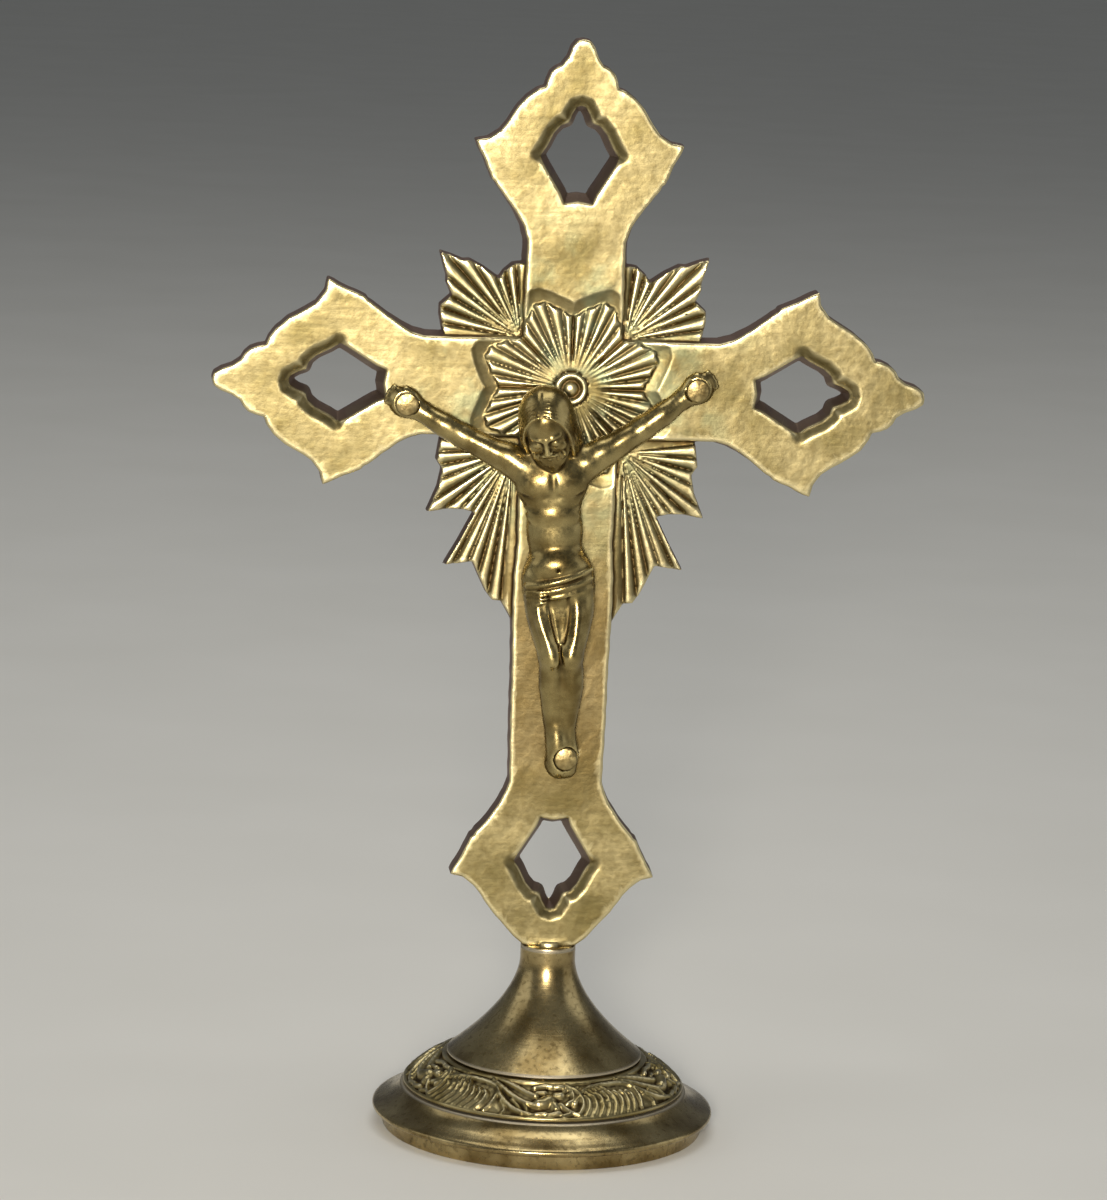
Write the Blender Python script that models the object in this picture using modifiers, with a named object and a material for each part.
"""Standing altar cross: cast cross plate with a riveted figure, held on a turned and cast foot by a tie stud.

Metres, +Z up. The front of the cross faces -Y, and the origin is the middle of the foot's resting face.
"""

from math import cos, pi, radians, sin

import bmesh
import bpy
from mathutils import Matrix, Vector

MM = 0.001

# ---- fits ----
GAP = 0.3 * MM                    # air left between any two pieces

# ---- foot ring, turned ----
FOOT_RADIUS = 30.1 * MM           # widest edge of the whole base
STEP_INSET = 1.8 * MM             # the plain step that stands on the table is this much smaller
STEP_HEIGHT = 2.6 * MM
FOOT_HEIGHT = 7.3 * MM            # shoulder that the ornament ring sits on
STEP_WALL = 4.3 * MM              # ring that carries the cross, round the hollow for the nut
WEB_THICKNESS = 1.7 * MM

# ---- ornament ring, cast ----
BAND_RADIUS = 24.8 * MM
BAND_LIP = 0.5 * MM               # upright outer edge of the ring
BAND_RISE = 4.7 * MM              # how far the band climbs from its outer to its inner edge
BEAD = 0.45 * MM                  # plain raised edge on either side of the ornament
BAND_SHOW = 0.5 * MM              # flat ledge left showing round the stem's rim

# ---- stem, turned ----
RIM_RADIUS = 17.2 * MM
RIM_HEIGHT = 0.4 * MM
RIM_SEAT = 1.3 * MM               # width of the rim's seat, outside the spigot that centres the ring
NECK_RADIUS = 4.85 * MM
NECK_LENGTH = 2.6 * MM            # straight stretch at the top of the flare
STEM_HEIGHT = 20.0 * MM           # from the rim's underside to the flat top of the neck
FLARE_POWER = 1.75
STEM_WALL = 7.4 * MM              # metal left round the cone turned out of the stem from below

# ---- tie stud, washer and nut ----
STUD_RADIUS = 1.5 * MM
STUD_RECESS = 0.5 * MM            # the stud and the nut end this far above the table, or further
WASHER_RADIUS = 5.0 * MM
WASHER_THICKNESS = 1.0 * MM
NUT_FLATS = 5.5 * MM
NUT_THICKNESS = 2.4 * MM
TANG_RADIUS = 3.0 * MM            # round peg cast under the cross plate
TANG_LENGTH = 5.4 * MM
TAP_DEPTH = 1.2 * MM              # how far the tapped hole runs on above the tang

# ---- cross plate, cast ----
PLATE = 5.0 * MM                  # thickness
ARM_HALF = 9.2 * MM               # half width of the arms
SHAFT_HALF = 8.3 * MM             # half width of the long lower arm
EYE_HALF = 18.0 * MM              # half width of a pierced end, corner to corner
EYE_AT = 42.4 * MM                # crossing to the corners of a short arm's pierced end
SIDE_TIP = 19.4 * MM              # corners to point, side arms
TOP_TIP = 17.7 * MM               # corners to point, top arm
SHAFT_LENGTH = 98.5 * MM          # crossing to the flat end of the lower arm
SHAFT_EYE = 12.3 * MM             # corners of the lower pierced end to its flat end
EYE_FLANK = 17.0 * MM             # length over which an arm widens into its pierced end
PIERCING_HALF = 7.2 * MM          # half width of a piercing
PIERCING_LENGTH = 17.4 * MM
FAN_DROP = 1.1 * MM               # the ray fans lie this far behind the plate's face
FAN_BACK = 0.3 * MM               # and this far in from its back
RAY_DEPTH = 0.45 * MM             # grooves between the rays
RAY_REACH = (4.2 * MM, 36.0 * MM) # a groove's start and end, from its fan's hub
RAY_SPREAD = 0.03                 # its half width for each length from the hub
ROSETTE_RADIUS = 16.0 * MM
ROSETTE_NOTCH = 12.4 * MM
ROSETTE_DEPTH = 0.9 * MM
BOSS_RADIUS = 2.9 * MM
BUTTON_RADIUS = 1.5 * MM

# ---- figure, cast ----
HAND_INSET = 17.4 * MM            # a hand's rivet stands this far in from the corners of its arm's end
HANDS_BELOW = 0.8 * MM            # the hands' rivets stand this far below the crossing, before the lean
FEET_AT = 64.2 * MM               # crossing down to the feet rivet
FIGURE_FORMS = 63.4               # hands above feet, in the units that the figure's forms are written in
FEET_ASIDE = 1.2 * MM             # the figure stands this far off the middle line
FIGURE_LEAN = radians(4.2)        # and leans to the other side
HAND_THICKNESS = 3.2 * MM
HAND_RADIUS = 2.5 * MM
FIGURE_TRIANGLES = 0.11           # share of the fused skin's triangles that is kept
FIGURE_GRAIN = 0.5 * MM           # grid that fuses the figure's forms

# ---- rivets ----
RIVET_RADIUS = 1.2 * MM
RIVET_HEAD = 2.05 * MM
HEAD_HEIGHT = 0.9 * MM
TAIL_HEIGHT = 0.7 * MM
TAIL_RADIUS = 1.9 * MM

# ---- sizes and places that follow ----
STEP_RADIUS = FOOT_RADIUS - STEP_INSET
RECESS_RADIUS = STEP_RADIUS - STEP_WALL
SPIGOT_RADIUS = RIM_RADIUS - RIM_SEAT
STEM_HOLLOW = SPIGOT_RADIUS - STEM_WALL
HAND_SPREAD = EYE_AT - HAND_INSET
HAND_RISE = FEET_AT - HANDS_BELOW
FORM = HAND_RISE / FIGURE_FORMS
BAND_Z = FOOT_HEIGHT + GAP
BAND_TOP = BAND_Z + BAND_LIP + BAND_RISE
STEM_Z = BAND_TOP + GAP
STEM_TOP = STEM_Z + STEM_HEIGHT
PLATE_Z = STEM_TOP + GAP
CROSSING_Z = PLATE_Z + SHAFT_LENGTH
WEB_Z = FOOT_HEIGHT - WEB_THICKNESS
WASHER_Z = WEB_Z - GAP - WASHER_THICKNESS
NUT_Z = WASHER_Z - GAP - NUT_THICKNESS
TANG_Z = PLATE_Z - TANG_LENGTH
STUD_TOP = PLATE_Z + TAP_DEPTH - GAP
FACE_Y = -PLATE / 2
STEPS = 60

BRASS = {
    "tarnished_brass": ((0.43, 0.36, 0.17), 0.38),
    "corpus_brass": ((0.36, 0.28, 0.12), 0.28),
    "turned_brass": ((0.25, 0.19, 0.08), 0.30),
    "ornament_brass": ((0.30, 0.23, 0.10), 0.42),
    "rivet_brass": ((0.38, 0.31, 0.15), 0.34),
    "plain_brass": ((0.30, 0.24, 0.11), 0.45),
}


# ---------------------------------------------------------------- helpers

def clear_scene():
    for obj in list(bpy.data.objects):
        bpy.data.objects.remove(obj, do_unlink=True)
    for collection in list(bpy.data.collections):
        bpy.data.collections.remove(collection)


def new_collection(name):
    collection = bpy.data.collections.new(name)
    bpy.context.scene.collection.children.link(collection)
    return collection


def new_material(name):
    colour, roughness = BRASS[name]
    material = bpy.data.materials.get(name) or bpy.data.materials.new(name)
    material.use_nodes = True
    shader = material.node_tree.nodes["Principled BSDF"]
    shader.inputs["Base Color"].default_value = (*colour, 1.0)
    shader.inputs["Roughness"].default_value = roughness
    shader.inputs["Metallic"].default_value = 1.0
    material.diffuse_color = (*colour, 1.0)
    return material


def add_object(name, mesh, collection, material=None):
    obj = bpy.data.objects.new(name, mesh)
    collection.objects.link(obj)
    if material:
        mesh.materials.append(new_material(material))
    return obj


def make_cutter(obj):
    """A cutter or an added form only works through its Boolean, so it isn't a piece itself."""
    obj.hide_render = True
    obj.display_type = "WIRE"
    return obj


def boolean(target, tool, operation):
    modifier = target.modifiers.new(tool.name, "BOOLEAN")
    modifier.operation = operation
    modifier.solver = "EXACT"
    modifier.object = tool


def shade(obj, angle=40):
    obj.data.shade_smooth()
    obj.data.set_sharp_from_angle(angle=radians(angle))


def turned(name, profile, collection, material=None, closed=False, steps=STEPS):
    """A profile of (radius, height) points, outer side first from top to bottom, spun round Z."""
    mesh = bpy.data.meshes.new(name)
    edges = [(i, i + 1) for i in range(len(profile) - 1)]
    if closed:
        edges.append((len(profile) - 1, 0))
    mesh.from_pydata([(radius, 0, height) for radius, height in profile], edges, [])
    obj = add_object(name, mesh, collection, material)
    screw = obj.modifiers.new("turn", "SCREW")
    screw.steps = steps
    screw.render_steps = steps
    screw.use_merge_vertices = True
    screw.merge_threshold = 0.00001
    screw.use_smooth_shade = True
    return obj


def flat_solid(name, loops, thickness, front_y, collection, material=None):
    """Outlines in the XZ plane, the first one outside, given a thickness back from front_y."""
    curve = bpy.data.curves.new(name, "CURVE")
    curve.dimensions = "2D"
    curve.fill_mode = "BOTH"
    curve.extrude = thickness / 2
    for loop in loops:
        spline = curve.splines.new("POLY")
        spline.points.add(len(loop) - 1)
        for point, (x, z) in zip(spline.points, loop):
            point.co = (x, z, 0, 1)
        spline.use_cyclic_u = True
    drawn = bpy.data.objects.new(name + "_outline", curve)
    collection.objects.link(drawn)
    drawn.rotation_euler = (pi / 2, 0, 0)
    drawn.location = (0, front_y + thickness / 2, 0)
    bpy.context.view_layer.update()
    graph = bpy.context.evaluated_depsgraph_get()
    mesh = bpy.data.meshes.new_from_object(drawn.evaluated_get(graph))
    bm = bmesh.new()
    bm.from_mesh(mesh)
    bmesh.ops.remove_doubles(bm, verts=bm.verts, dist=0.000001)
    bm.to_mesh(mesh)
    bm.free()
    obj = add_object(name, mesh, collection, material)
    obj.matrix_world = drawn.matrix_world.copy()
    bpy.data.objects.remove(drawn, do_unlink=True)
    return obj


def on_face(obj, x, z, y=0.0):
    """Turns a piece spun round Z so that its top looks out of the cross's face, at (x, z)."""
    obj.rotation_euler = (pi / 2, 0, 0)
    obj.location = (x, y, z)
    return obj


def mirrored(points):
    """The right half of an outline, from its point down, closed by its mirror image."""
    return points + [(-x, z) for x, z in reversed(points) if x > 0.00001]


def figure_point(x, z):
    """A place in the figure's own frame, whose origin is the feet rivet, as (x, z) on the plate."""
    return (FEET_ASIDE + x * cos(FIGURE_LEAN) - z * sin(FIGURE_LEAN),
            CROSSING_Z - FEET_AT + x * sin(FIGURE_LEAN) + z * cos(FIGURE_LEAN))


RIVETS = {
    "rivet_right_hand": figure_point(-HAND_SPREAD, HAND_RISE),
    "rivet_left_hand": figure_point(HAND_SPREAD, HAND_RISE),
    "rivet_feet": figure_point(0, 0),
}


# ---------------------------------------------------------------- base

def foot_ring(parts):
    reach = FOOT_RADIUS - BAND_RADIUS
    height = FOOT_HEIGHT - STEP_HEIGHT
    cove = [(0.06, 1.0), (0.13, 0.90), (0.25, 0.76), (0.43, 0.60), (0.68, 0.44), (0.89, 0.33),
            (0.98, 0.25), (1.0, 0.17), (0.97, 0.09), (0.85, 0.02)]
    outer = [(BAND_RADIUS + reach * u, STEP_HEIGHT + height * v) for u, v in cove]
    edge = 0.3 * MM
    step = [(STEP_RADIUS, STEP_HEIGHT), (STEP_RADIUS, edge), (STEP_RADIUS - edge, 0)]
    bore = STUD_RADIUS + GAP
    under = [(RECESS_RADIUS, 0), (RECESS_RADIUS, WEB_Z), (bore, WEB_Z), (bore, FOOT_HEIGHT)]
    obj = turned("foot_ring", outer + step + under, parts, "turned_brass", closed=True)
    shade(obj)


def ornament_ring(parts):
    bore = SPIGOT_RADIUS + GAP
    ledge = RIM_RADIUS + BAND_SHOW
    lip_z = BAND_Z + BAND_LIP
    slope = BAND_RISE / (BAND_RADIUS - ledge)
    sunk = BEAD * 0.8
    profile = [
        (ledge, BAND_TOP),
        (ledge + BEAD, BAND_TOP - BEAD * slope),
        (ledge + 2 * BEAD, BAND_TOP - 2 * BEAD * slope - sunk),
        (BAND_RADIUS - 2 * BEAD, lip_z + 2 * BEAD * slope - sunk),
        (BAND_RADIUS - BEAD, lip_z + BEAD * slope),
        (BAND_RADIUS, lip_z),
        (BAND_RADIUS, BAND_Z),
        (bore, BAND_Z),
        (bore, BAND_TOP),
    ]
    shade(turned("ornament_ring", profile, parts, "ornament_brass", closed=True))


def stem(parts):
    neck_z = STEM_TOP - NECK_LENGTH
    rim_z = STEM_Z + RIM_HEIGHT
    spread = RIM_RADIUS - NECK_RADIUS
    count = 11
    flare = []
    for i in range(count + 1):
        down = i / count
        flare.append((NECK_RADIUS + spread * down ** FLARE_POWER, neck_z + (rim_z - neck_z) * down))
    edge = 0.3 * MM
    socket = TANG_RADIUS + GAP
    socket_z = TANG_Z - GAP
    bore = STUD_RADIUS + GAP
    spigot_z = FOOT_HEIGHT + GAP
    profile = [(NECK_RADIUS - edge, STEM_TOP), (NECK_RADIUS, STEM_TOP - edge)] + flare + [
        (RIM_RADIUS, STEM_Z),
        (SPIGOT_RADIUS, STEM_Z),
        (SPIGOT_RADIUS, spigot_z),
        (STEM_HOLLOW, spigot_z),
        (bore, spigot_z + STEM_HOLLOW - bore),
        (bore, socket_z),
        (socket, socket_z),
        (socket, STEM_TOP),
    ]
    shade(turned("stem", profile, parts, "turned_brass", closed=True))


def tie_stud(parts):
    edge = 0.4 * MM
    profile = [
        (0, STUD_TOP),
        (STUD_RADIUS - edge, STUD_TOP),
        (STUD_RADIUS, STUD_TOP - edge),
        (STUD_RADIUS, STUD_RECESS + edge),
        (STUD_RADIUS - edge, STUD_RECESS),
        (0, STUD_RECESS),
    ]
    shade(turned("tie_stud", profile, parts, "plain_brass", steps=32))


def washer(parts):
    top = WASHER_Z + WASHER_THICKNESS
    bore = STUD_RADIUS + GAP
    profile = [(WASHER_RADIUS, top), (WASHER_RADIUS, WASHER_Z), (bore, WASHER_Z), (bore, top)]
    shade(turned("washer", profile, parts, "plain_brass", closed=True, steps=48))


def nut(parts, cutters):
    bm = bmesh.new()
    across = NUT_FLATS / 2 / cos(pi / 6)
    bmesh.ops.create_cone(bm, cap_ends=True, segments=6, radius1=across, radius2=across, depth=NUT_THICKNESS)
    mesh = bpy.data.meshes.new("nut")
    bm.to_mesh(mesh)
    bm.free()
    obj = add_object("nut", mesh, parts, "plain_brass")
    obj.location = (0, 0, NUT_Z + NUT_THICKNESS / 2)
    bore = STUD_RADIUS + GAP
    past = MM
    hole = [(0, NUT_Z + NUT_THICKNESS + past), (bore, NUT_Z + NUT_THICKNESS + past), (bore, NUT_Z - past),
            (0, NUT_Z - past)]
    boolean(obj, make_cutter(turned("nut_bore", hole, cutters, steps=32)), "DIFFERENCE")


# ---------------------------------------------------------------- cross plate

def inner_flank(half, flank):
    """Right edge of an arm as it widens into its pierced end: (half width, distance before the corners)."""
    shape = [(0.0, 1.0), (0.06, 0.88), (0.17, 0.76), (0.33, 0.62), (0.50, 0.50), (0.56, 0.46), (0.60, 0.42),
             (0.66, 0.40), (0.80, 0.22), (0.95, 0.07), (1.0, 0.0)]
    return [(half + (EYE_HALF - half) * u, -flank * v) for u, v in shape]


def outer_flank(tip):
    """Right edge of a pierced end from its corner to its point: (half width, distance past the corners)."""
    shape = [(0.88, 0.025), (0.765, 0.10), (0.71, 0.18), (0.61, 0.34), (0.52, 0.44), (0.42, 0.51),
             (0.355, 0.535), (0.34, 0.60), (0.31, 0.67), (0.26, 0.72), (0.20, 0.75), (0.15, 0.82),
             (0.115, 0.92), (0.065, 0.985), (0.0, 1.0)]
    return [(EYE_HALF * u, tip * v) for u, v in shape]


def piercing():
    """Outline of a piercing: a pointed head with a step, and a narrower flat foot; its head is outward."""
    shape = [(0.0, 0.385), (0.17, 0.365), (0.31, 0.29), (0.40, 0.215), (0.58, 0.17), (0.70, 0.085),
             (0.84, -0.035), (1.0, -0.14), (0.90, -0.215), (0.66, -0.375), (0.45, -0.515), (0.35, -0.615),
             (0.0, -0.59)]
    return mirrored([(PIERCING_HALF * u, PIERCING_LENGTH * v) for u, v in shape])


def arm_edge(half, tip, reach):
    """Right edge of an arm, from the plate's middle out to its point, in the arm's own frame."""
    eye = inner_flank(half, EYE_FLANK) + outer_flank(tip)
    return [(across, reach + along) for across, along in eye]


def turn(points, quarter):
    """Turns arm points (across, along) so that 0 points up, 1 right, 2 down and 3 left."""
    for _ in range(quarter):
        points = [(z, -x) for x, z in points]
    return points


def shaft_edge():
    """Right edge of the lower arm, down to its flat end, which is as wide as the neck below it."""
    reach = SHAFT_LENGTH - SHAFT_EYE
    flat = NECK_RADIUS - GAP
    eye = inner_flank(SHAFT_HALF, EYE_FLANK)
    eye += [(EYE_HALF * 0.88, SHAFT_EYE * 0.04), (EYE_HALF * 0.765, SHAFT_EYE * 0.17)]
    low = [(0.86, 0.30), (0.66, 0.52), (0.42, 0.72), (0.20, 0.88), (0.0, 1.0)]
    eye += [(flat + (EYE_HALF * 0.765 - flat) * u, SHAFT_EYE * v) for u, v in low]
    return [(across, reach + along) for across, along in eye]


def plate_outline():
    """The whole cross seen from the front, arm by arm, with the corners between the arms."""
    outline = []
    side = arm_edge(ARM_HALF, SIDE_TIP, EYE_AT)
    arms = [arm_edge(ARM_HALF, TOP_TIP, EYE_AT), side, shaft_edge(), side]
    corners = [(ARM_HALF, ARM_HALF), (ARM_HALF, -ARM_HALF), (-ARM_HALF, -ARM_HALF), (-ARM_HALF, ARM_HALF)]
    for quarter, (edge, corner) in enumerate(zip(arms, corners)):
        left = [(-x, z) for x, z in edge]
        right = [point for point in reversed(edge) if point[0] > 0]
        outline += turn(left + right, quarter) + [corner]
    return [(x, z + CROSSING_Z) for x, z in outline]


def piercing_outlines():
    outlines = []
    for quarter, reach in enumerate((EYE_AT, EYE_AT, SHAFT_LENGTH - SHAFT_EYE, EYE_AT)):
        loop = turn([(x, z + reach) for x, z in piercing()], quarter)
        outlines.append([(x, z + CROSSING_Z) for x, z in loop])
    return outlines


# the outlines of the right-hand fans, in millimetres from the crossing
UPPER_FAN = [(5.0, 5.0), (5.0, 21.2), (9.6, 21.6), (10.8, 21.4), (12.4, 20.0), (13.1, 18.9), (15.6, 20.6),
             (18.1, 21.9), (19.3, 21.8), (21.4, 22.6), (23.5, 23.2), (22.8, 20.6), (22.2, 18.8), (22.2, 17.6),
             (21.3, 15.6), (23.2, 13.9), (23.2, 12.0), (22.6, 9.2), (21.2, 5.0)]
LOWER_FAN = [(5.0, -5.0), (21.2, -5.0), (22.4, -9.6), (22.9, -13.2), (21.9, -14.7), (22.5, -17.9),
             (24.4, -22.5), (20.1, -21.8), (17.6, -21.9), (16.1, -22.3), (18.5, -27.0), (21.1, -31.7),
             (18.6, -31.4), (16.0, -31.0), (14.8, -33.6), (13.5, -36.2), (12.4, -37.6), (10.8, -37.8),
             (9.7, -39.6), (8.9, -41.0), (7.2, -42.4), (5.0, -42.4)]
# where the rays of a fan start, in millimetres, and the angles of the grooves between them, in degrees
UPPER_HUB = (9.0, 8.6)
LOWER_HUB = (9.4, -11.0)
UPPER_GROOVES = [84, 75, 66, 56, 47, 38, 29, 19, 9]
LOWER_GROOVES = [-3, -13, -23, -34, -42, -50, -58, -64, -70, -76, -82, -87]


def ray_groove(bm, hub, angle, side):
    """A V groove, as a wedge lying on its edge, from near the hub out past the fan's rim."""
    deep = FACE_Y + FAN_DROP + RAY_DEPTH
    front = FACE_Y + FAN_DROP - RAY_DEPTH
    way = Vector((cos(radians(angle)) * side, 0, sin(radians(angle))))
    across = Vector((-way.z, 0, way.x))
    origin = Vector((hub[0] * MM * side, 0, hub[1] * MM + CROSSING_Z))
    corners = []
    for distance in RAY_REACH:
        width = distance * RAY_SPREAD
        middle = origin + way * distance
        for shift, y in ((-width, front), (width, front), (0, deep)):
            corners.append(bm.verts.new(middle + across * shift + Vector((0, y, 0))))
    faces = [(0, 1, 2), (5, 4, 3), (0, 3, 4, 1), (1, 4, 5, 2), (2, 5, 3, 0)]
    made = [bm.faces.new([corners[i] for i in face]) for face in faces]
    bmesh.ops.recalc_face_normals(bm, faces=made)


def ray_grooves(cutters):
    bm = bmesh.new()
    for hub, angles in ((UPPER_HUB, UPPER_GROOVES), (LOWER_HUB, LOWER_GROOVES)):
        for angle in angles:
            for side in (1, -1):
                ray_groove(bm, hub, angle, side)
    mesh = bpy.data.meshes.new("ray_grooves")
    bm.to_mesh(mesh)
    bm.free()
    return add_object("ray_grooves", mesh, cutters)


def ray_fans(cutters):
    """The four fans of rays between the arms, one solid each, with their grooves already cut."""
    thickness = PLATE - FAN_DROP - FAN_BACK
    grooves = make_cutter(ray_grooves(cutters))
    fans = []
    for name, points in (("upper", UPPER_FAN), ("lower", LOWER_FAN)):
        for label, side in (("right", 1), ("left", -1)):
            outline = [(x * MM * side, z * MM + CROSSING_Z) for x, z in points]
            fan = flat_solid(f"{name}_{label}_fan", [outline], thickness, FACE_Y + FAN_DROP, cutters)
            boolean(fan, grooves, "DIFFERENCE")
            fans.append(make_cutter(fan))
    return fans


def rosette_outline():
    """Eight blunt petals."""
    outline = []
    petals = 8
    shape = [(-0.5, 0.0), (-0.32, 0.62), (-0.13, 0.96), (0.06, 1.0), (0.27, 0.74)]
    for petal in range(petals):
        for u, v in shape:
            angle = 2 * pi * (petal + 0.5 + u) / petals
            radius = ROSETTE_NOTCH + (ROSETTE_RADIUS - ROSETTE_NOTCH) * v
            outline.append((radius * cos(angle), CROSSING_Z + radius * sin(angle)))
    return outline


def boss(cutters):
    """The ring and button in the middle of the rosette; it rises from the rosette's floor."""
    floor = -ROSETTE_DEPTH - 0.4 * MM
    groove = (BOSS_RADIUS + BUTTON_RADIUS) / 2
    profile = [(0, 0.35 * MM), (BUTTON_RADIUS * 0.6, 0.25 * MM), (BUTTON_RADIUS, -0.3 * MM),
               (groove, 0.15 * MM), (BOSS_RADIUS * 0.93, 0.05 * MM), (BOSS_RADIUS, -0.3 * MM),
               (BOSS_RADIUS, floor), (0, floor)]
    return on_face(turned("boss", profile, cutters, steps=32), 0, CROSSING_Z, FACE_Y)


def cross_plate(parts, cutters):
    plate = flat_solid("cross_plate", [plate_outline()] + piercing_outlines(), PLATE, FACE_Y, parts,
                       "tarnished_brass")
    for fan in ray_fans(cutters):
        boolean(plate, fan, "UNION")
    past = MM
    recess = flat_solid("rosette_recess", [rosette_outline()], ROSETTE_DEPTH + past, FACE_Y - past, cutters)
    boolean(plate, make_cutter(recess), "DIFFERENCE")
    boolean(plate, make_cutter(boss(cutters)), "UNION")
    tang = [(0, PLATE_Z + past), (TANG_RADIUS * 0.8, PLATE_Z + past), (TANG_RADIUS * 0.8, PLATE_Z),
            (TANG_RADIUS, PLATE_Z - GAP), (TANG_RADIUS, TANG_Z), (0, TANG_Z)]
    boolean(plate, make_cutter(turned("tang", tang, cutters, steps=32)), "UNION")
    tap_top = PLATE_Z + TAP_DEPTH
    bore = STUD_RADIUS + GAP
    tap = [(0, tap_top), (bore, tap_top), (bore, TANG_Z - past), (0, TANG_Z - past)]
    boolean(plate, make_cutter(turned("tapped_hole", tap, cutters, steps=32)), "DIFFERENCE")
    bore = RIVET_RADIUS + GAP
    hole = [(0, PLATE), (bore, PLATE), (bore, -PLATE), (0, -PLATE)]
    for name, (x, z) in RIVETS.items():
        cutter = on_face(turned(name + "_hole", hole, cutters, steps=24), x, z)
        boolean(plate, make_cutter(cutter), "DIFFERENCE")
    shade(plate, 30)


# ---------------------------------------------------------------- figure and rivets

def ball(bm, centre, radii, tilt=0.0):
    """An ellipsoid in the figure's frame and form units."""
    place = Matrix.Translation(Vector(centre) * FORM) @ Matrix.Rotation(tilt, 4, "Y")
    size = Matrix.Diagonal((*[radius * FORM for radius in radii], 1))
    bmesh.ops.create_uvsphere(bm, u_segments=20, v_segments=12, radius=1, matrix=place @ size)


def limb(bm, start, end, start_radius, end_radius):
    """A tapered round length with round ends, in the figure's frame and form units."""
    start, end = Vector(start), Vector(end)
    way = end - start
    turn_to = way.to_track_quat("Z", "Y").to_matrix().to_4x4()
    place = Matrix.Translation((start + way / 2) * FORM) @ turn_to
    bmesh.ops.create_cone(bm, cap_ends=True, segments=20, radius1=start_radius * FORM,
                          radius2=end_radius * FORM, depth=way.length * FORM, matrix=place)
    ball(bm, start, (start_radius,) * 3)
    ball(bm, end, (end_radius,) * 3)


def figure_forms():
    """The figure's masses: trunk, head, arms, legs and cloth, overlapping each other."""
    bm = bmesh.new()
    ball(bm, (-0.3, -6.2, 34.5), (5.9, 3.9, 5.6))
    ball(bm, (-0.4, -6.4, 41.0), (4.9, 3.4, 6.4))
    ball(bm, (0.0, -7.2, 48.6), (6.1, 4.2, 6.4))
    limb(bm, (0.0, -7.0, 52.0), (-1.6, -9.0, 57.0), 2.7, 2.3)
    ball(bm, (-2.0, -10.2, 59.2), (4.3, 4.9, 5.6), radians(-8))
    ball(bm, (-1.8, -8.8, 59.0), (5.7, 4.4, 5.9), radians(-8))
    ball(bm, (-2.0, -12.2, 55.2), (2.2, 2.0, 2.6))
    hand_y = (FACE_Y - GAP - HAND_THICKNESS / 2) / FORM
    hand_x, hand_z = HAND_SPREAD / FORM, FIGURE_FORMS
    hand = HAND_RADIUS / FORM
    for side in (-1, 1):
        limb(bm, (side * 2.0, -6.6, 50.5), (side * 7.2, -5.9, 52.6), 3.2, 2.8)
        limb(bm, (side * 7.2, -5.9, 52.6), (side * 15.5, -5.3, 57.4), 2.6, 2.3)
        limb(bm, (side * 15.5, -5.3, 57.4), (side * (hand_x - 2), hand_y, hand_z - 1.2), 2.3, 1.9)
        limb(bm, (side * (hand_x - 2), hand_y, hand_z - 1.2), (side * (hand_x + 1.4), hand_y, hand_z + 0.8),
             2.0, hand)
        limb(bm, (-0.3 + side * 2.7, -6.2, 33.0), (-0.6 + side * 1.9, -8.6, 18.6), 3.4, 2.4)
        limb(bm, (-0.6 + side * 1.9, -8.6, 18.6), (-1.0 + side * 1.2, -5.4, 6.0), 2.3, 1.6)
    ball(bm, (-0.3, -6.2, 32.0), (6.3, 4.5, 4.6))
    ball(bm, (-0.4, -9.2, 25.5), (1.9, 1.4, 6.0))
    limb(bm, (-0.9, -5.2, 5.5), (-0.7, -4.8, -2.0), 2.3, 2.2)
    return bm


def figure_frame(obj):
    x, z = figure_point(0, 0)
    obj.location = (x, 0, z)
    obj.rotation_euler = (0, -FIGURE_LEAN, 0)


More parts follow.
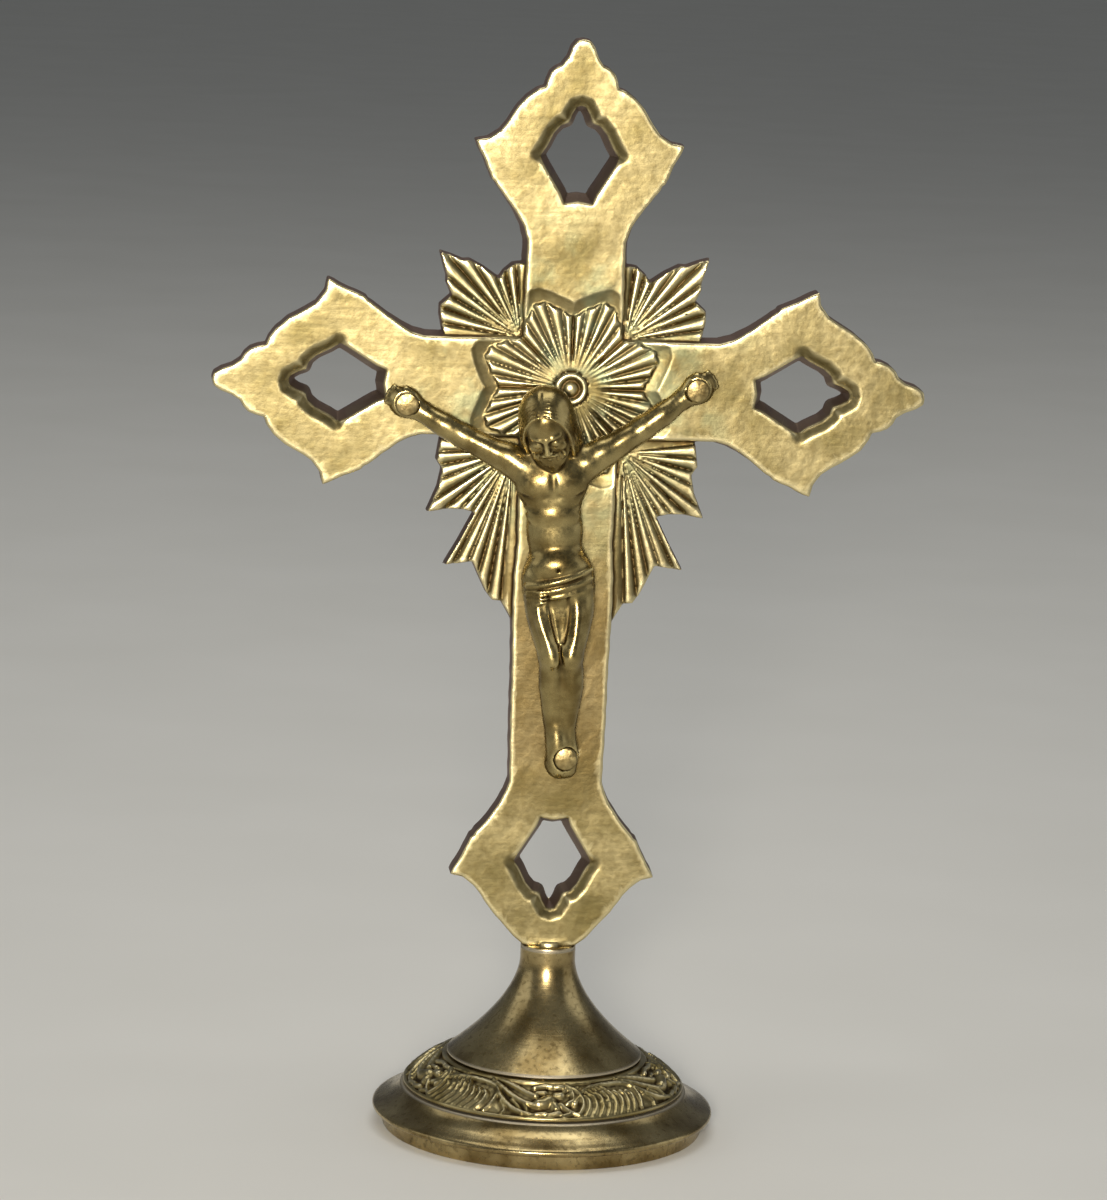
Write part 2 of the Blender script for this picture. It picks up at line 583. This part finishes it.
def figure(parts, cutters):
    mesh = bpy.data.meshes.new("corpus")
    bm = figure_forms()
    bm.to_mesh(mesh)
    bm.free()
    obj = add_object("corpus", mesh, parts, "corpus_brass")
    figure_frame(obj)
    fuse = obj.modifiers.new("fuse", "REMESH")
    fuse.mode = "VOXEL"
    fuse.voxel_size = FIGURE_GRAIN
    soften = obj.modifiers.new("soften", "SMOOTH")
    soften.factor = 0.5
    soften.iterations = 5
    thin = obj.modifiers.new("thin", "DECIMATE")
    thin.ratio = FIGURE_TRIANGLES
    bm = bmesh.new()
    bmesh.ops.create_cube(bm, size=1)
    bmesh.ops.scale(bm, vec=(100 * MM, 20 * MM, 200 * MM), verts=bm.verts)
    back = bpy.data.meshes.new("corpus_back")
    bm.to_mesh(back)
    bm.free()
    behind = add_object("corpus_back", back, cutters)
    behind.location = (0, FACE_Y - GAP + 10 * MM, CROSSING_Z)
    boolean(obj, make_cutter(behind), "DIFFERENCE")
    seat = -FACE_Y + GAP + HAND_THICKNESS
    shank = RIVET_RADIUS + GAP
    head = RIVET_HEAD + GAP
    past = 6 * MM
    pocket = [(0, seat + past), (head, seat + past), (head, seat), (shank, seat), (shank, 0), (0, 0)]
    for name, (x, z) in RIVETS.items():
        cutter = on_face(turned(name + "_seat", pocket, cutters, steps=24), x, z)
        boolean(obj, make_cutter(cutter), "DIFFERENCE")
    shade(obj, 35)


def rivets(parts):
    """Each rivet's head sits on the figure and its tail is peened over behind the plate."""
    head_z = -FACE_Y + 2 * GAP + HAND_THICKNESS
    tail_z = FACE_Y - GAP
    edge = 0.25 * MM
    curve = [radians(angle) for angle in (0, 25, 50, 72)]
    dome = [(TAIL_RADIUS * cos(angle), tail_z - TAIL_HEIGHT * sin(angle)) for angle in curve]
    profile = [
        (0, head_z + HEAD_HEIGHT),
        (RIVET_HEAD - edge, head_z + HEAD_HEIGHT),
        (RIVET_HEAD, head_z + HEAD_HEIGHT - edge),
        (RIVET_HEAD, head_z),
        (RIVET_RADIUS, head_z),
        (RIVET_RADIUS, tail_z),
    ] + dome + [(0, tail_z - TAIL_HEIGHT)]
    for name, (x, z) in RIVETS.items():
        shade(on_face(turned(name, profile, parts, "rivet_brass", steps=24), x, z))


def build():
    clear_scene()
    parts = new_collection("altar_cross")
    cutters = new_collection("cutters")
    foot_ring(parts)
    ornament_ring(parts)
    stem(parts)
    tie_stud(parts)
    washer(parts)
    nut(parts, cutters)
    cross_plate(parts, cutters)
    figure(parts, cutters)
    rivets(parts)


build()
